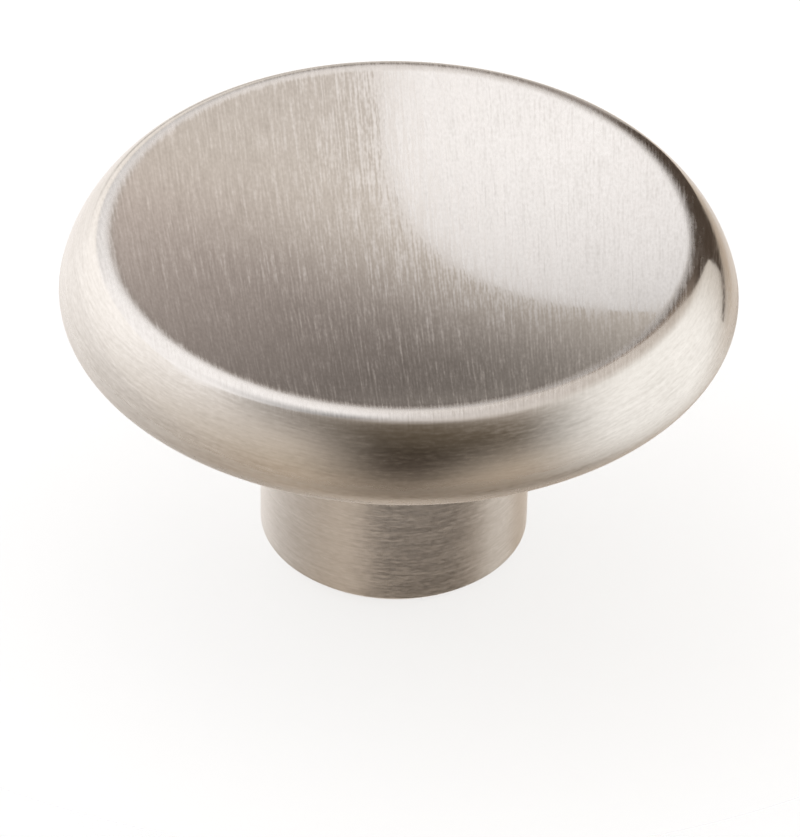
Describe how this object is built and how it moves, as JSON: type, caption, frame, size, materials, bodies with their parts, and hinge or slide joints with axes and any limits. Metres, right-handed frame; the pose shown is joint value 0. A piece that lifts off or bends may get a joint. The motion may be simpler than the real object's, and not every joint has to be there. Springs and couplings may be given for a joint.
{
  "type": "cabinet knob",
  "caption": "Round cabinet knob with a dished face, a bowed rim and a plain stem, fixed by one screw into a tapped hole in its foot; pulled with the fingertips behind the head.",
  "frame": {"origin": "centre of the foot, in the plane that sits on the door or drawer front", "axes": "+Z along the knob's axis, from the foot towards the face; X and Y are alike, because the knob is round"},
  "size_m": [0.038, 0.038, 0.0207],
  "materials": {
    "satin_nickel": "brushed satin nickel plate: straight strokes on the face, strokes around the rim and stem"
  },
  "bodies": {
    "root": {"knob_body": "satin_nickel"}
  },
  "joints": []
}
